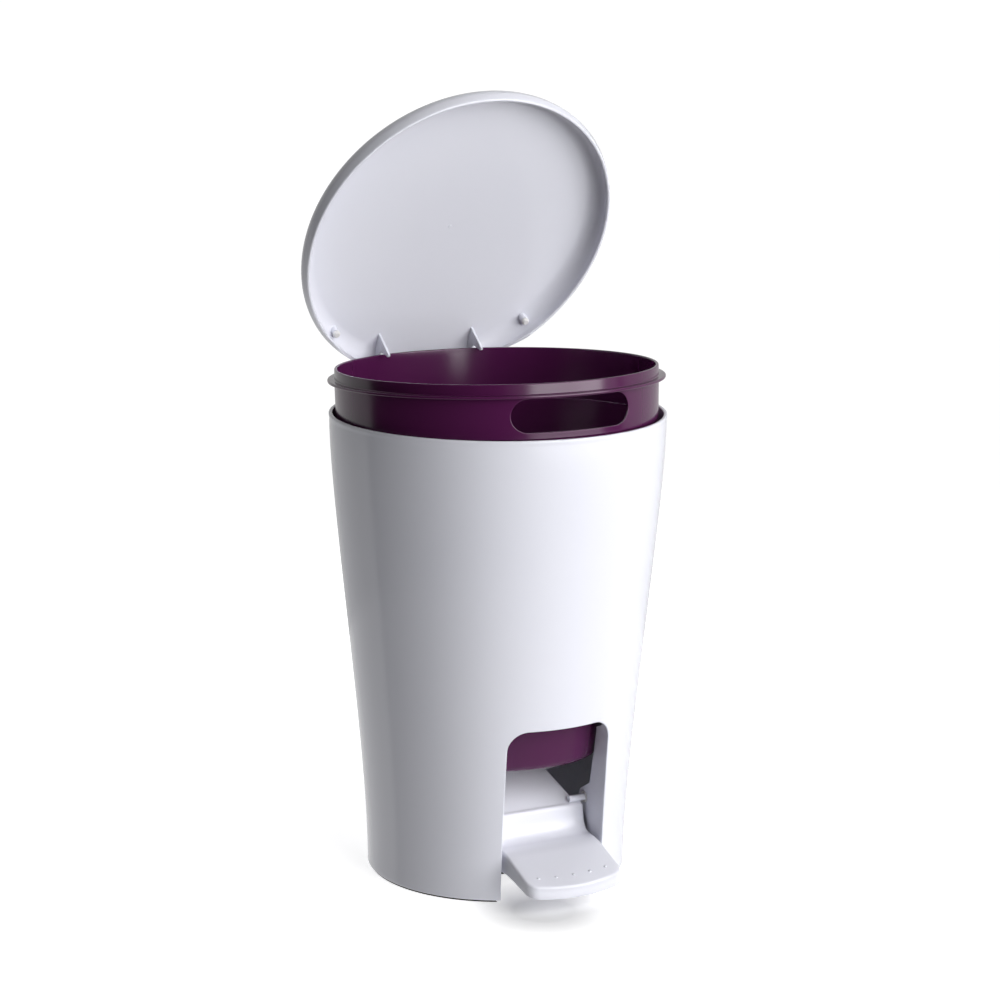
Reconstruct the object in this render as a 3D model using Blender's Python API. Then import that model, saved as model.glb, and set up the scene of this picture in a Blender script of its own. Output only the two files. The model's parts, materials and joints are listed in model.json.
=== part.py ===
"""Pedal bin with a lift-out bucket, built as separate pieces on real joints.

Frame: +Z up, the floor at z = 0, the body's axis at x = y = 0, the pedal towards -Y and the lid hinge
towards +Y. The bin stands open: the pedal is pressed, the bucket is raised and the lid is up.
Sizes below are in millimetres; MM turns them into metres where a mesh is made.
"""

import math

import bmesh
import bpy
from mathutils import Matrix, Vector

MM = 0.001
GAP = 0.3                  # clearance between pieces that touch

# Body
FOOT_GAP = 1.2             # the body's lower edge stands this far off the floor
BODY_HEIGHT = 285.4
BODY_WALL = 2.0
BASE_RADIUS = 80.4
RIM_RADIUS = 102.7
RIM_Z = FOOT_GAP + BODY_HEIGHT
FOOT_CIRCLE = 70.6         # the four feet stand on this radius

# Pedal opening in the body
OPENING_HALF = 34.5
OPENING_TOP = 108.0
OPENING_CORNER = 12.0
WEB = 2.4                  # thickness of the opening's inward webs

# Lid hinge, pedal axle and the bucket's distant tilt axis, as (y, z)
HINGE = (103.0, 295.1)
PEDAL_AXLE = (-51.0, 50.2)
BUCKET_TILT = (427.0, 286.2)

# Travel from the closed bin to the open one, in degrees
PEDAL_TRAVEL = 23.0
LID_TRAVEL = 62.1
BUCKET_TRAVEL = 2.645

# Bucket, as it sits with the lid closed
FLANGE_Z = RIM_Z + GAP
FLANGE_THICK = 1.7
FLANGE_RADIUS = 102.7
COLLAR_RADIUS = 98.4
COLLAR_TOP = FLANGE_Z + 8.1
BAND_HEIGHT = 24.0         # the straight band that holds the hand hole
BUCKET_WALL = 1.8
BUCKET_BOTTOM = 55.5
BUCKET_PLAY = -0.9         # the bucket hangs loosely, this far off the middle plane
BUCKET_BASE_RADIUS = 61.0
HAND_HOLE = (78.0, 19.5)   # width and height
HAND_HOLE_Z = 276.2
NOTCH_HALF = 68.0          # the flange is cut back this far each side of the hinge

# Lid, closed: its rim plane lies just above the bucket's flange
LID_Z = FLANGE_Z + FLANGE_THICK + GAP
LID_EDGE_RADIUS = 102.4
LID_SIDE_RADIUS = 103.6
LID_REACH = -0.9           # the lid's centre lies this far in front of the body's axis
LID_SIDE_HEIGHT = 4.5
LID_SHOULDER = (12.6, 12.0)
LID_CROWN = 3.5
LID_WALL = 2.2
LID_NOTCH = (72.0, 49.0)   # half width of the cut in the lid's skirt, at its edge and at its depth
NOTCH_DEPTH = 5.6
KNUCKLE_NOTCH = 3.5
FIN_X = 32.9
FIN_THICK = 1.6
BUFFER_PLACE = (67.0, 69.0)

# Hinge hardware
KNUCKLE_HALF = 25.4
KNUCKLE_RADIUS = 3.7
PIN_RADIUS = 1.6
EAR = (27.0, 33.0)         # inner and outer face of a bracket ear
EAR_RADIUS = 4.0
BRACKET_THICK = 3.0
SCREW_PLACE = (13.0, 222.0)

# Pedal
PAD_HALF = 32.5
PAD_FRONT = -108.6
PAD_WALL = 2.3
PLATE_HALF = (28.0, 16.5)  # half width of the lifting plate at the axle and at its nose
PLATE_FOLD = (-51.0, 48.2) # (y, z) where the lifting plate leaves the fold, and of its nose
PLATE_NOSE = (-5.0, 74.9)
STUB_RADIUS = 2.1
STUB = (23.4, 39.0)

ROUND = 56                 # segments of the large turned pieces
SMALL_ROUND = 16
WELD = 2e-6                # metres: slivers that a Boolean leaves are closed up


# ---- materials and objects -------------------------------------------------------------------------

def material(name, colour, roughness, metallic=0.0):
    """A Principled material, made once for each name."""
    found = bpy.data.materials.get(name)
    if found:
        return found
    made = bpy.data.materials.new(name)
    made.use_nodes = True
    shader = made.node_tree.nodes["Principled BSDF"]
    shader.inputs["Base Color"].default_value = (*colour, 1.0)
    shader.inputs["Roughness"].default_value = roughness
    shader.inputs["Metallic"].default_value = metallic
    made.diffuse_color = (*colour, 1.0)
    return made


def white_plastic():
    return material("white_plastic", (0.86, 0.86, 0.88), 0.18)


def purple_plastic():
    return material("purple_plastic", (0.10, 0.014, 0.085), 0.22)


def nylon():
    return material("nylon", (0.78, 0.77, 0.74), 0.45)


def rubber():
    return material("rubber", (0.05, 0.05, 0.052), 0.85)


def steel():
    return material("steel", (0.62, 0.62, 0.63), 0.32, 1.0)


def finish(bm, name):
    """A scratch object from a bmesh given in millimetres, with its faces pointing out."""
    bmesh.ops.recalc_face_normals(bm, faces=bm.faces[:])
    bmesh.ops.scale(bm, vec=(MM, MM, MM), verts=bm.verts[:])
    mesh = bpy.data.meshes.new(name)
    bm.to_mesh(mesh)
    bm.free()
    solid = bpy.data.objects.new(name, mesh)
    bpy.context.scene.collection.objects.link(solid)
    return solid


def publish(solid, name, finish_material, pivot=None, sharp=35.0):
    """Names a solid, shades it, and hangs it on its pivot empty with the pivot as its origin."""
    solid.name = name
    solid.data.name = name
    bm = bmesh.new()
    bm.from_mesh(solid.data)
    bmesh.ops.remove_doubles(bm, verts=bm.verts[:], dist=WELD)
    bmesh.ops.dissolve_degenerate(bm, edges=bm.edges[:], dist=WELD)
    bm.to_mesh(solid.data)
    bm.free()
    solid.data.materials.clear()
    solid.data.materials.append(finish_material)
    solid.data.shade_smooth()
    solid.data.set_sharp_from_angle(angle=math.radians(sharp))
    if pivot:
        solid.data.transform(Matrix.Translation(-pivot.location))
        solid.parent = pivot
    return solid


def pivot_at(name, place, degrees=0.0):
    """An empty on a joint axis along X; degrees turns what it carries, front end upwards."""
    empty = bpy.data.objects.new(name, None)
    empty.location = Vector((0.0, place[0], place[1])) * MM
    empty.rotation_euler = (-math.radians(degrees), 0.0, 0.0)
    bpy.context.scene.collection.objects.link(empty)
    return empty


# ---- shapes -----------------------------------------------------------------------------------------

def bezier(start, handle_a, handle_b, end, steps):
    """Points along a cubic curve, both ends included."""
    points = []
    for index in range(steps + 1):
        t = index / steps
        weights = ((1 - t) ** 3, 3 * t * (1 - t) ** 2, 3 * t * t * (1 - t), t ** 3)
        corners = (start, handle_a, handle_b, end)
        points.append(tuple(sum(w * c[axis] for w, c in zip(weights, corners)) for axis in (0, 1)))
    return points


def arc(centre, radii, from_degrees, to_degrees, steps):
    """Points of an elliptical arc."""
    points = []
    for index in range(steps + 1):
        angle = math.radians(from_degrees + (to_degrees - from_degrees) * index / steps)
        points.append((centre[0] + radii[0] * math.cos(angle), centre[1] + radii[1] * math.sin(angle)))
    return points


def turned(outline, segments=ROUND, axis="Z", centre=(0.0, 0.0)):
    """A closed (radius, height) outline turned about Z, or about a line along X through (y, z)."""
    bm = bmesh.new()
    rings = []
    for radius, height in outline:
        if radius < 1e-6:
            rings.append([bm.verts.new((0.0, 0.0, height))])
            continue
        ring = []
        for index in range(segments):
            angle = math.tau * (index + 0.5) / segments
            ring.append(bm.verts.new((radius * math.cos(angle), radius * math.sin(angle), height)))
        rings.append(ring)
    for low, high in zip(rings, rings[1:] + rings[:1]):
        for index in range(segments):
            after = (index + 1) % segments
            corners = [low[index % len(low)], low[after % len(low)],
                       high[after % len(high)], high[index % len(high)]]
            corners = list(dict.fromkeys(corners))
            if len(corners) > 2:
                bm.faces.new(corners)
    if axis == "X":
        turn = Matrix(((0, 0, 1), (1, 0, 0), (0, 1, 0))).to_4x4()
        bmesh.ops.transform(bm, matrix=Matrix.Translation((0, *centre)) @ turn, verts=bm.verts[:])
    elif axis == "Y":
        turn = Matrix(((0, 1, 0), (0, 0, 1), (1, 0, 0))).to_4x4()
        bmesh.ops.transform(bm, matrix=Matrix.Translation((centre[0], 0, centre[1])) @ turn,
                            verts=bm.verts[:])
    return finish(bm, "turned")


def rod(radius, low, high, axis="X", centre=(0.0, 0.0), segments=SMALL_ROUND):
    """A plain cylinder between two stations of an axis."""
    return turned([(0, low), (radius, low), (radius, high), (0, high)], segments, axis, centre)


def prism(outline, low, high, axis):
    """A closed outline pushed along an axis: (y, z) along X, (x, z) along Y or (x, y) along Z."""
    bm = bmesh.new()
    place = {
        "X": lambda p, depth: (depth, p[0], p[1]),
        "Y": lambda p, depth: (p[0], depth, p[1]),
        "Z": lambda p, depth: (p[0], p[1], depth),
    }[axis]
    near = [bm.verts.new(place(point, low)) for point in outline]
    far = [bm.verts.new(place(point, high)) for point in outline]
    bm.faces.new(near)
    bm.faces.new(far)
    for index in range(len(outline)):
        after = (index + 1) % len(outline)
        bm.faces.new((near[index], near[after], far[after], far[index]))
    return finish(bm, "prism")


def moved(solid, x, y, turn=0.0):
    """Turns a solid about Z and then shifts it across the floor."""
    turned_by = Matrix.Rotation(turn, 4, "Z")
    solid.data.transform(Matrix.Translation(Vector((x, y, 0)) * MM) @ turned_by)
    return solid


def combine(base, tools, operation):
    """Applies an exact Boolean of each tool to the base and removes the tool."""
    for tool in tools:
        cut = base.modifiers.new("combine", "BOOLEAN")
        cut.operation = operation
        cut.solver = "EXACT"
        cut.object = tool
        bpy.context.view_layer.update()
        evaluated = base.evaluated_get(bpy.context.evaluated_depsgraph_get())
        mesh = bpy.data.meshes.new_from_object(evaluated)
        base.modifiers.clear()
        base.data = mesh
        bpy.data.objects.remove(tool)
    return base


def join(base, *tools):
    return combine(base, tools, "UNION")


def cut(base, *tools):
    return combine(base, tools, "DIFFERENCE")


def keep(base, *tools):
    return combine(base, tools, "INTERSECT")


# ---- body -------------------------------------------------------------------------------------------

def body_curve(inset=0.0, steps=10):
    """The body's outer S curve from base to rim, moved inwards by inset."""
    low = (BASE_RADIUS - inset, FOOT_GAP)
    handle_low = (BASE_RADIUS - 0.5 - inset, FOOT_GAP + 0.246 * BODY_HEIGHT)
    handle_high = (RIM_RADIUS + 1.2 - inset, FOOT_GAP + 0.83 * BODY_HEIGHT)
    high = (RIM_RADIUS - inset, RIM_Z)
    return bezier(low, handle_low, handle_high, high, steps)


def opening_outline(grow=0.0, low=-10.0):
    """The arched opening's (x, z) outline, open downwards, grown outwards by grow."""
    half = OPENING_HALF + grow
    top = OPENING_TOP + grow
    corner = OPENING_CORNER + grow
    right = arc((half - corner, top - corner), (corner, corner), 0, 90, 6)
    left = arc((corner - half, top - corner), (corner, corner), 90, 180, 6)
    return [(-half, low), (half, low)] + right + left


def web_side():
    """The (y, z) outline that bounds the opening's webs, with the ear that carries the axle bush."""
    axle_y, axle_z = PEDAL_AXLE
    ear = arc((axle_y, axle_z), (6.2, 6.2), -70, 75, 8)
    return ([(-100, FOOT_GAP + 1), (-53, FOOT_GAP + 1), (-55, 36)] + ear
            + [(-57.5, 61), (-65.5, 99), (-77.5, 104), (-77.5, 114), (-100, 114)])


def foot_places():
    angles = [math.radians(a) for a in (45, 135, 225, 315)]
    return [(FOOT_CIRCLE * math.cos(a), FOOT_CIRCLE * math.sin(a)) for a in angles]


def build_body():
    outer = body_curve()
    inner = body_curve(BODY_WALL)
    shell = turned(outer + inner[::-1])
    shell = cut(shell, prism(opening_outline(), -120, -40, "Y"))

    webs = prism(opening_outline(WEB, FOOT_GAP + 1), -96, -42, "Y")
    webs = cut(webs, prism(opening_outline(), -120, -30, "Y"))
    webs = keep(webs, prism(web_side(), -60, 60, "X"))
    inside = body_curve(0.8)
    webs = keep(webs, turned([(0, inside[0][1])] + inside + [(0, inside[-1][1])]))
    webs = cut(webs, rod(3.8, -60, 60, "X", PEDAL_AXLE))
    shell = join(shell, webs)

    for x, y in foot_places():
        tab = moved(rod(7.5, 4.0, 6.6, "Z"), x, y)
        reach = prism([(-6.0, 0), (6.0, 0), (6.0, 9), (-6.0, 9)], 4.0, 6.6, "Z")
        reach = moved(reach, x, y, math.atan2(y, x) - math.pi / 2)
        tab = cut(join(tab, reach), moved(rod(2.5, 0, 10, "Z"), x, y))
        tab = keep(tab, turned([(0, inside[0][1])] + inside + [(0, inside[-1][1])]))
        shell = join(shell, tab)

    for side in (-1, 1):
        place = (side * SCREW_PLACE[0], SCREW_PLACE[1])
        shell = join(shell, rod(4.2, 92.2, 96.6, "Y", place))
        shell = cut(shell, rod(1.4, 80, 110, "Y", place))
    publish(shell, "body_shell", white_plastic())


def build_feet():
    names = ("foot_rear_right", "foot_rear_left", "foot_front_left", "foot_front_right")
    for name, (x, y) in zip(names, foot_places()):
        outline = [(0, 0), (5.2, 0), (6.0, 0.8), (6.0, 3.6), (2.1, 3.6), (2.1, 7.0), (3.1, 7.0),
                   (2.4, 9.0), (0, 9.0)]
        publish(moved(turned(outline, SMALL_ROUND), x, y), name, rubber())


# ---- rear hinge bracket -----------------------------------------------------------------------------

def build_bracket():
    skin = body_curve(-GAP, 20)
    back = body_curve(-GAP - BRACKET_THICK, 20)
    sheet = turned(skin + back[::-1], 96)
    tee = [(-20, 212), (20, 212), (22, 245), (34, 262), (34, RIM_Z - 1), (-34, RIM_Z - 1), (-34, 262),
           (-22, 245)]
    plate = keep(sheet, prism(tee, 40, 130, "Y"))
    y, z = HINGE
    disc = arc((y, z), (EAR_RADIUS, EAR_RADIUS), 0, 180, 10)
    ear = disc + [(y - EAR_RADIUS, RIM_Z - 4), (y - 3.4, 268), (y - 1.5, 266), (y + 1, 270), (y + 4, 284)]
    rib = [(103.5, 226), (105.6, 230), (108.6, 252), (108.6, 276), (104.0, 283), (103.5, 283)]
    plate = join(plate, prism(rib, -1.5, 1.5, "X"))
    for side in (-1, 1):
        low, high = sorted((side * EAR[0], side * EAR[1]))
        plate = join(plate, prism(ear, low, high, "X"))
        plate = cut(plate, rod(1.5, 90, 120, "Y", (side * SCREW_PLACE[0], SCREW_PLACE[1])))
    plate = cut(plate, rod(PIN_RADIUS + GAP, -60, 60, "X", HINGE))
    publish(plate, "hinge_bracket", white_plastic())

    seat = back_radius(SCREW_PLACE[1])
    depth = math.sqrt(seat ** 2 - (SCREW_PLACE[0] - 3.4) ** 2)
    for side, name in ((-1, "bracket_screw_left"), (1, "bracket_screw_right")):
        place = (side * SCREW_PLACE[0], SCREW_PLACE[1])
        head = depth + GAP
        outline = [(0, 92.6), (0.6, 92.6), (1.1, 93.6), (1.1, head), (3.1, head), (3.1, head + 0.8),
                   (2.4, head + 1.8), (0, head + 2.1)]
        screw = turned(outline, SMALL_ROUND, "Y", place)
        for wide, tall in ((1.6, 0.35), (0.35, 1.6)):
            slot = [(place[0] + x, place[1] + z)
                    for x, z in ((-wide, -tall), (wide, -tall), (wide, tall), (-wide, tall))]
            screw = cut(screw, prism(slot, head + 1.0, head + 4, "Y"))
        publish(screw, name, steel())


def back_radius(height):
    """The bracket's outer radius at a height."""
    curve = body_curve(-GAP - BRACKET_THICK, 60)
    return min(curve, key=lambda point: abs(point[1] - height))[0]


# ---- lid --------------------------------------------------------------------------------------------

def lid_section(inset):
    """The lid's (radius, z) curve from the skirt's edge to the crown, moved inwards by inset."""
    wide, tall = LID_SHOULDER
    centre = (LID_SIDE_RADIUS - wide, LID_Z + LID_SIDE_HEIGHT)
    shoulder = arc(centre, (wide - inset, tall - inset), 0, 90, 6)
    crown_z = shoulder[-1][1]
    flat = shoulder[-1][0]
    crown = [(flat * k, crown_z + LID_CROWN * (1 - k * k)) for k in (0.75, 0.5, 0.25, 0.0)]
    return [(LID_EDGE_RADIUS - inset, LID_Z)] + shoulder + crown


def fin_outline():
    """The (y, z) outline of a cam fin: the bucket's rim slides along its hollow edge, behind its nose."""
    nose = arc((80.6, LID_Z - 2.1), (1.3, 1.3), 190, 340, 5)
    return [(75.4, LID_Z + 22), (76.0, LID_Z + 14)] + nose + [
        (83.4, LID_Z + 3.5), (84.3, LID_Z + 6.8), (86.3, LID_Z + 8.2), (90.5, LID_Z + 8.6),
        (99.9, LID_Z + 8.2), (100.6, LID_Z + 22)]


def build_lid(pivot):
    outer = lid_section(0.0)
    lid = moved(turned([(0, LID_Z)] + outer), 0, LID_REACH)
    y, z = HINGE
    knuckle = join(
        rod(KNUCKLE_RADIUS, -KNUCKLE_HALF, KNUCKLE_HALF, "X", HINGE),
        prism([(96.0, z - 2.6), (y, z - KNUCKLE_RADIUS + 0.2),
               (y, z + KNUCKLE_RADIUS - 0.2), (96.0, z + 3.4)],
              -KNUCKLE_HALF, KNUCKLE_HALF, "X"))
    lid = join(lid, knuckle)
    inner = lid_section(LID_WALL)
    lid = cut(lid, moved(turned([(0, LID_Z - 6), (inner[0][0], LID_Z - 6)] + inner), 0, LID_REACH))

    wide, deep = LID_NOTCH
    low = LID_Z - 1
    top = LID_Z + NOTCH_DEPTH
    notch = prism([(-wide, low), (wide, low), (deep, top), (-deep, top)], 50, 99.1, "Y")
    side, top = KNUCKLE_HALF + 0.8, LID_Z + KNUCKLE_NOTCH
    wide_notch = prism([(-side, low), (side, low), (side, top), (-side, top)], 98.0, 102.5, "Y")
    lid = cut(lid, notch, wide_notch, rod(PIN_RADIUS + GAP, -50, 50, "X", HINGE, 18))

    fins = prism(fin_outline(), -FIN_X - FIN_THICK / 2, -FIN_X + FIN_THICK / 2, "X")
    fins = join(fins, prism(fin_outline(), FIN_X - FIN_THICK / 2, FIN_X + FIN_THICK / 2, "X"))
    for x in (-BUFFER_PLACE[0], BUFFER_PLACE[0]):
        fins = join(fins, moved(rod(2.6, LID_Z + 9.0, LID_Z + 20, "Z"), x, BUFFER_PLACE[1]))
    limit = lid_section(0.7)
    fins = keep(fins, moved(turned([(0, LID_Z - 8), (limit[0][0], LID_Z - 8)] + limit), 0, LID_REACH))
    lid = join(lid, fins)
    publish(lid, "lid", white_plastic(), pivot)


def build_lid_buffers(pivot):
    for side, name in ((-1, "lid_buffer_left"), (1, "lid_buffer_right")):
        low = COLLAR_TOP + 0.4
        outline = [(0, low), (1.6, low), (2.4, low + 0.8), (2.4, LID_Z + 8.7), (0, LID_Z + 8.7)]
        button = moved(turned(outline, SMALL_ROUND), side * BUFFER_PLACE[0], BUFFER_PLACE[1])
        publish(button, name, nylon(), pivot)


def build_hinge_pin():
    pin = rod(PIN_RADIUS, -36.6, 36.6, "X", HINGE)
    publish(pin, "hinge_pin", steel())
    for side, word in ((-1, "left"), (1, "right")):
        cap = [(0, 38.6), (0, 37.0), (PIN_RADIUS + GAP, 37.0), (PIN_RADIUS + GAP, 33.4),
               (3.2, 33.4), (3.2, 37.6), (2.2, 38.6)]
        cap = turned([(radius, side * x) for radius, x in cap], SMALL_ROUND, "X", HINGE)
        publish(cap, "hinge_pin_cap_" + word, white_plastic())
        washer = [(PIN_RADIUS + GAP, 25.7), (3.6, 25.7),
                  (3.6, 26.7), (PIN_RADIUS + GAP, 26.7)]
        washer = turned([(radius, side * x) for radius, x in washer], SMALL_ROUND, "X", HINGE)
        publish(washer, "hinge_washer_" + word, nylon())


# ---- bucket -----------------------------------------------------------------------------------------

def bucket_outline():
    band_low = FLANGE_Z - BAND_HEIGHT
    top = FLANGE_Z + FLANGE_THICK
    outer = arc((BUCKET_BASE_RADIUS - 5, BUCKET_BOTTOM + 5), (5, 5), -90, -10, 4)
    outer += [(97.4, band_low - 0.5), (98.1, band_low), (98.5, FLANGE_Z), (FLANGE_RADIUS, FLANGE_Z),
              (FLANGE_RADIUS, top), (COLLAR_RADIUS, top), (COLLAR_RADIUS, COLLAR_TOP)]
    inner_floor = BUCKET_BOTTOM + BUCKET_WALL
    inner = [(COLLAR_RADIUS - BUCKET_WALL, COLLAR_TOP), (98.1 - BUCKET_WALL, band_low), (95.6, band_low - 0.5)]
    inner += arc((BUCKET_BASE_RADIUS - 5, inner_floor + 3.2), (3.2, 3.2), -10, -90, 3)
    return [(0, BUCKET_BOTTOM)] + outer + inner + [(0, inner_floor)]


def build_bucket(pivot):
    bucket = turned(bucket_outline())
    width, height = HAND_HOLE
    end = height / 2
    middle = width / 2 - end
    slot = arc((middle, HAND_HOLE_Z), (end, end), -90, 90, 8)
    slot += arc((-middle, HAND_HOLE_Z), (end, end), 90, 270, 8)
    bucket = cut(bucket, prism(slot, -120, -60, "Y"))
    ring = turned([(COLLAR_RADIUS + 0.02, FLANGE_Z - 0.4), (110, FLANGE_Z - 0.4), (110, FLANGE_Z + 2.2),
                   (COLLAR_RADIUS + 0.02, FLANGE_Z + 2.2)])
    rear = [(-NOTCH_HALF, 20), (NOTCH_HALF, 20), (NOTCH_HALF, 120), (-NOTCH_HALF, 120)]
    ring = keep(ring, prism(rear, FLANGE_Z - 3, FLANGE_Z + 5, "Z"))
    bucket = moved(cut(bucket, ring), BUCKET_PLAY, 0)
    publish(bucket, "bucket", purple_plastic(), pivot)


# ---- pedal ------------------------------------------------------------------------------------------

def tread(drop=0.0):
    """The (y, z) line of the riser's face and the pad's top, from the fold to the pad's front edge."""
    riser = bezier((-54.4, 45.5), (-55.4, 39.0), (-55.0, 31.6), (-64.0, 31.2), 8)
    level = bezier((-64.0, 31.2), (-70.0, 31.0), (-74.5, 30.0), (-80.0, 27.8), 3)
    pad = bezier((-80.0, 27.8), (-92.0, 23.3), (-101.0, 20.2), (PAD_FRONT, 17.2), 4)
    line = [(-53.2, 48.3)] + riser + level[1:] + pad[1:]
    if not drop:
        return line
    lowered = []
    for index, point in enumerate(line):
        before = Vector(line[max(index - 1, 0)])
        after = Vector(line[min(index + 1, len(line) - 1)])
        along = (after - before).normalized()
        lowered.append((point[0] - along[1] * drop, point[1] + along[0] * drop))
    return lowered


def pad_plan(inset=0.0):
    """The pad's (x, y) outline: a bowed front edge with rounded corners."""
    half = PAD_HALF - inset
    corner = 9.0 - inset
    front = PAD_FRONT + inset
    side_front = PAD_FRONT + 3.4 + inset
    right = arc((half - corner, side_front + corner), (corner, corner), 0, -80, 5)
    left = arc((corner - half, side_front + corner), (corner, corner), -100, -180, 5)
    bow = [(15.0, front + 0.7), (0.0, front), (-15.0, front + 0.7)]
    return [(half, -40.0)] + right + bow + left + [(-half, -40.0)]


def build_pedal(pivot):
    top = tread()
    skirt = [(PAD_FRONT, 9.8), (-97.0, 13.4), (-84.0, 16.4), (-75.0, 17.8), (-62.0, 17.4), (-56.0, 25.0),
             (-51.6, 38.0), (-50.6, 46.6)]
    block = prism(top + skirt, -40, 40, "X")
    block = keep(block, prism(pad_plan(), 0, 60, "Z"))
    under = tread(PAD_WALL)
    hollow = prism(under[1:] + [(under[-1][0], 5), (-48, 5), (-48, under[1][1])], -40, 40, "X")
    hollow = keep(hollow, prism(pad_plan(PAD_WALL), 0, 60, "Z"))
    block = cut(block, hollow)

    wide, narrow = PLATE_HALF
    (fold_y, fold_z), (nose_y, nose_z) = PLATE_FOLD, PLATE_NOSE
    rise = (nose_z - fold_z) / (nose_y - fold_y)
    plate_top = [(fold_y - 2.4, fold_z - 2.4 * rise), (nose_y - 1.0, nose_z - rise)]
    nose = arc((nose_y - 0.7, plate_top[1][1] - 1.35), (1.2, 1.2), 60, -90, 4)
    plate = prism(plate_top + nose + [(fold_y, fold_z - 2.8)], -40, 40, "X")
    plan = [(-wide, fold_y - 5), (wide, fold_y - 5), (wide, fold_y), (narrow, nose_y + 5),
            (-narrow, nose_y + 5), (-wide, fold_y)]
    plate = keep(plate, prism(plan, 30, 90, "Z"))
    rib = [(-61.0, 36.6), (-46.0, 40.0), (-12.0, 66.0), (-12.0, 70.0), (-50.0, 47.4), (-56.0, 43.5)]
    for x in (-12.0, 12.0):
        plate = join(plate, prism(rib, x - 0.9, x + 0.9, "X"))
    block = join(block, plate)
    for side in (-1, 1):
        low, high = sorted((side * STUB[0], side * STUB[1]))
        block = join(block, rod(STUB_RADIUS, low, high, "X", PEDAL_AXLE))
    publish(block, "pedal", white_plastic(), pivot)


def build_axle_bushes():
    inner = STUB_RADIUS + GAP
    for side, word in ((-1, "left"), (1, "right")):
        bush = [(inner, 34.2), (3.5, 34.2), (3.5, 37.2), (4.9, 37.2), (4.9, 38.4), (inner, 38.4)]
        bush = turned([(radius, side * x) for radius, x in bush], SMALL_ROUND, "X", PEDAL_AXLE)
        publish(bush, "axle_bush_" + word, nylon())


def main():
    for thing in list(bpy.data.objects):
        bpy.data.objects.remove(thing)
    lid_pivot = pivot_at("lid_pivot", HINGE, LID_TRAVEL)
    bucket_pivot = pivot_at("bucket_pivot", BUCKET_TILT, BUCKET_TRAVEL)
    pedal_pivot = pivot_at("pedal_pivot", PEDAL_AXLE)
    build_body()
    build_feet()
    build_bracket()
    build_hinge_pin()
    build_lid(lid_pivot)
    build_lid_buffers(lid_pivot)
    build_bucket(bucket_pivot)
    build_pedal(pedal_pivot)
    build_axle_bushes()


main()
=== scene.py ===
"""Looks of the pedal bin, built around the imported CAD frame.

The four large mouldings (body, bucket, lid and pedal) are remade here as fine meshes with rounded
edges, and each stands for its CAD node. The small hardware keeps its CAD meshes and gets its own
materials. Sizes are in millimetres and MM turns them into metres. The lid and the bucket are made
as they lie with the bin closed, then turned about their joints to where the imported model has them
at rest.
"""

import json
import math

import bmesh
import bpy
import numpy as np
from mathutils import Matrix, Vector


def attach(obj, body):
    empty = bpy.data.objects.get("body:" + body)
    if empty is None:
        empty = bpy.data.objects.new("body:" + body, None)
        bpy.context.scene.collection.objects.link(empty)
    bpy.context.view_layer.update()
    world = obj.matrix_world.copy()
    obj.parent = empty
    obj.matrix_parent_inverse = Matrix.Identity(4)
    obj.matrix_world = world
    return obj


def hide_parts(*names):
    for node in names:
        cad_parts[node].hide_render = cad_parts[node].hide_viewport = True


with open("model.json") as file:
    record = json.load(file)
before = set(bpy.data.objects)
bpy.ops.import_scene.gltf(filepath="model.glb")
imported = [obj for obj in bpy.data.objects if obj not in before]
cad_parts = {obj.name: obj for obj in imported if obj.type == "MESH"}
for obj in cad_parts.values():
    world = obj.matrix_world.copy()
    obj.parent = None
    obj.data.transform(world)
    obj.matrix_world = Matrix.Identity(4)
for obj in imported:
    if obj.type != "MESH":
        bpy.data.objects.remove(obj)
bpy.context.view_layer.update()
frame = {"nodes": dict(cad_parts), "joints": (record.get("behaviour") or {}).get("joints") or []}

MM = 0.001
JOINTS = {joint["name"]: joint for joint in frame["joints"]}


def axis_place(name):
    """The (y, z) place of a joint's axis, in millimetres."""
    return tuple(value / MM for value in JOINTS[name]["pos_m"][1:])


HINGE = axis_place("lid_hinge")
BUCKET_TILT = axis_place("bucket_lift")
PEDAL_AXLE = axis_place("pedal_hinge")
LID_TURN = 62.1
BUCKET_TURN = 2.645

# Body
FOOT_GAP = 1.2
BODY_HEIGHT = 285.4
BODY_WALL = 2.0
BASE_RADIUS = 80.4
RIM_RADIUS = 102.7
RIM_Z = FOOT_GAP + BODY_HEIGHT
RIM_LIP = 0.35
FOOT_CIRCLE = 70.6
OPENING_HALF = 34.5
OPENING_TOP = 108.0
OPENING_CORNER = 12.0
OPENING_EDGE = 0.9
WEB = 2.4
SCREW_PLACE = (13.0, 222.0)
BODY_STEPS = 56
BODY_HANDLES = ((-0.5, 0.246), (1.2, 0.83))   # of the S curve: (outwards, share of the height)
BASE_ROUNDS = (0.8, 0.5)                      # outer and inner edge of the base
RIM_ROUNDS = (1.0, 0.8)                       # outer and inner edge of the rim
AXLE_BORE = 3.8
EAR_RADIUS = 6.2
FOOT_HEADINGS = (45, 135, 225, 315)
FOOT_PLATE = (4.0, 6.6)                       # heights of the plates that carry the feet
FOOT_PLATE_RADIUS = 7.5
FOOT_ARM = (6.0, 8.9)                         # half width and reach of a plate's arm to the wall
FOOT_BORE = 2.5
BOSS_RADIUS = 4.2
BOSS_DEPTH = (92.2, 96.6)
SCREW_BORE = 1.4

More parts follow.
